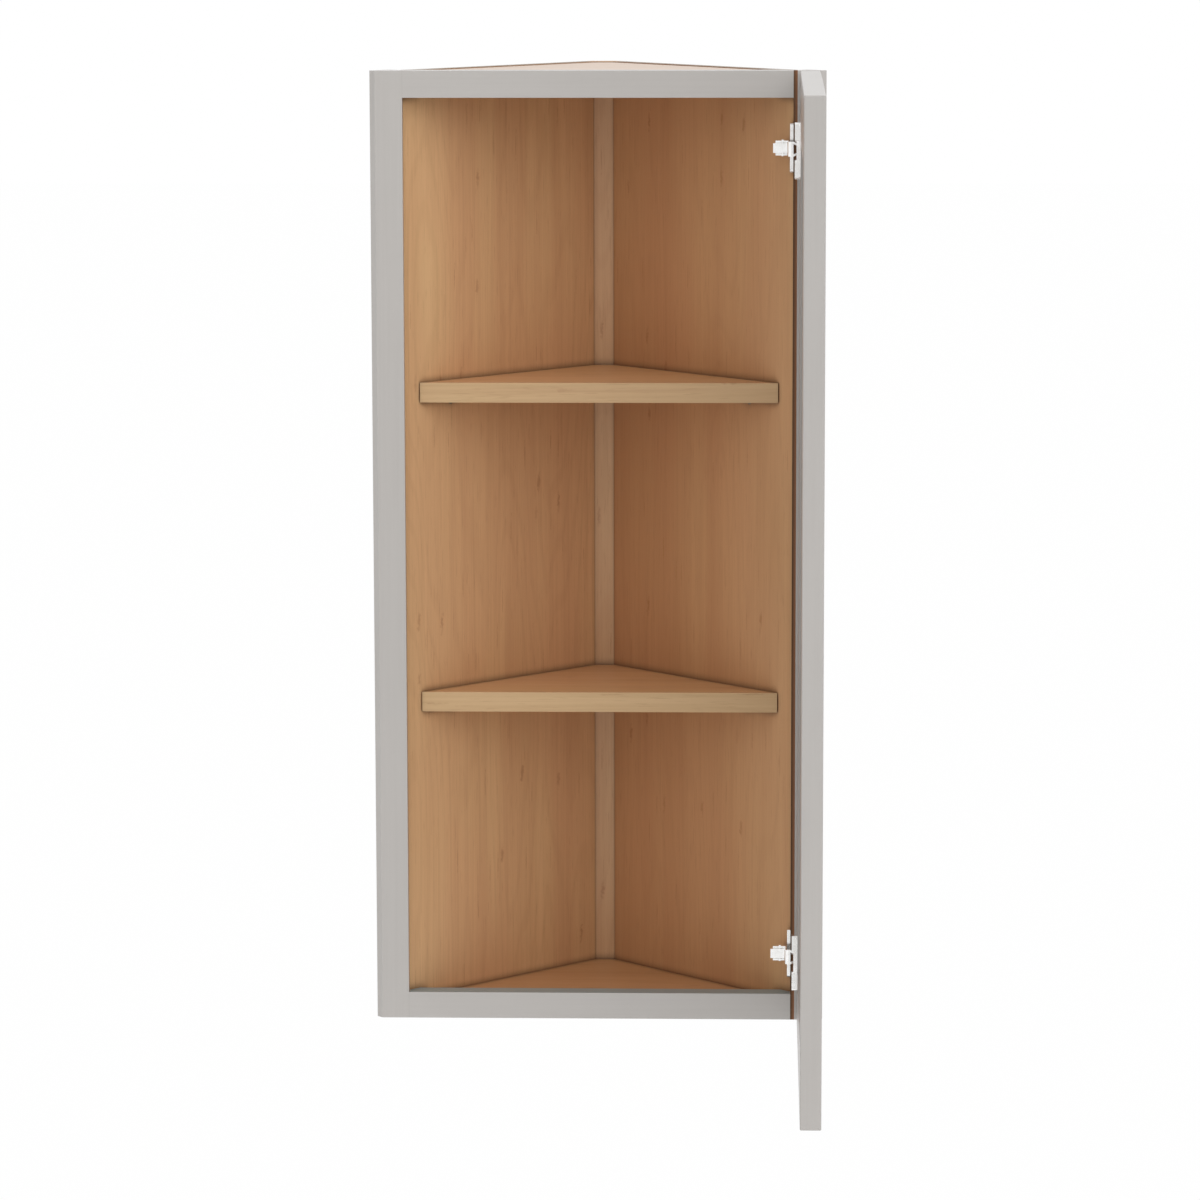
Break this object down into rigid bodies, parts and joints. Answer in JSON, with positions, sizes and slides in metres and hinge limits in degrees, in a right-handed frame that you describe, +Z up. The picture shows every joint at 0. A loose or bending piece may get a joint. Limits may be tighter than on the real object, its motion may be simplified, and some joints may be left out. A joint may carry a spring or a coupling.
{
  "type": "diagonal wall end cabinet",
  "caption": "Triangular wall cabinet with a painted face frame across the front, a hinged recessed-panel door and loose shelves on supports.",
  "frame": {"origin": "lower end of the hinge stile's side face, midway across it, where the cabinet's side goes against the wall", "axes": "+X to the right along the diagonal front, +Y from the front into the corner, +Z up; the open door reaches towards -Y"},
  "size_m": [0.4311, 0.6191, 0.9144],
  "materials": {
    "painted_wood": "satin grey paint",
    "maple_plywood": "clear satin lacquer",
    "maple": "clear satin lacquer",
    "nickel": "nickel plated"
  },
  "bodies": {
    "cabinet": {"side_panel_left": "maple_plywood", "side_panel_right": "maple_plywood", "corner_post": "maple", "top_panel": "maple_plywood", "bottom_panel": "maple_plywood", "stile_left": "painted_wood", "stile_right": "painted_wood", "hinge_strip": "maple", "rail_top": "painted_wood", "rail_bottom": "painted_wood", "shelf_pins_lower": "nickel", "shelf_pins_upper": "nickel", "hinge_base_lower": "nickel", "hinge_base_upper": "nickel", "hinge_arm_lower": "nickel", "hinge_arm_upper": "nickel", "arm_rivets": "nickel", "plate_screws": "nickel"},
    "door": {"door_stile_hinge": "painted_wood", "door_stile_free": "painted_wood", "door_rail_top": "painted_wood", "door_rail_bottom": "painted_wood", "door_panel": "painted_wood", "hinge_cup_lower": "nickel", "hinge_cup_upper": "nickel", "hinge_pins": "nickel", "cup_screws": "nickel"},
    "shelf_lower": {"shelf_board_lower": "maple_plywood", "shelf_edging_lower": "maple"},
    "shelf_upper": {"shelf_board_upper": "maple_plywood", "shelf_edging_upper": "maple"}
  },
  "joints": [
    {"name": "door_swing", "type": "hinge", "parent": "cabinet", "child": "door", "pos_m": [-0.00683, -0.026, 0.4533], "axis": [0, 0, 1], "range_deg": [-90, 10]},
    {"name": "shelf_lower_lift", "type": "slide", "parent": "cabinet", "child": "shelf_lower", "axis": [0, 0, 1], "range_m": [0, 0.05]},
    {"name": "shelf_upper_lift", "type": "slide", "parent": "cabinet", "child": "shelf_upper", "axis": [0, 0, 1], "range_m": [0, 0.05]}
  ]
}
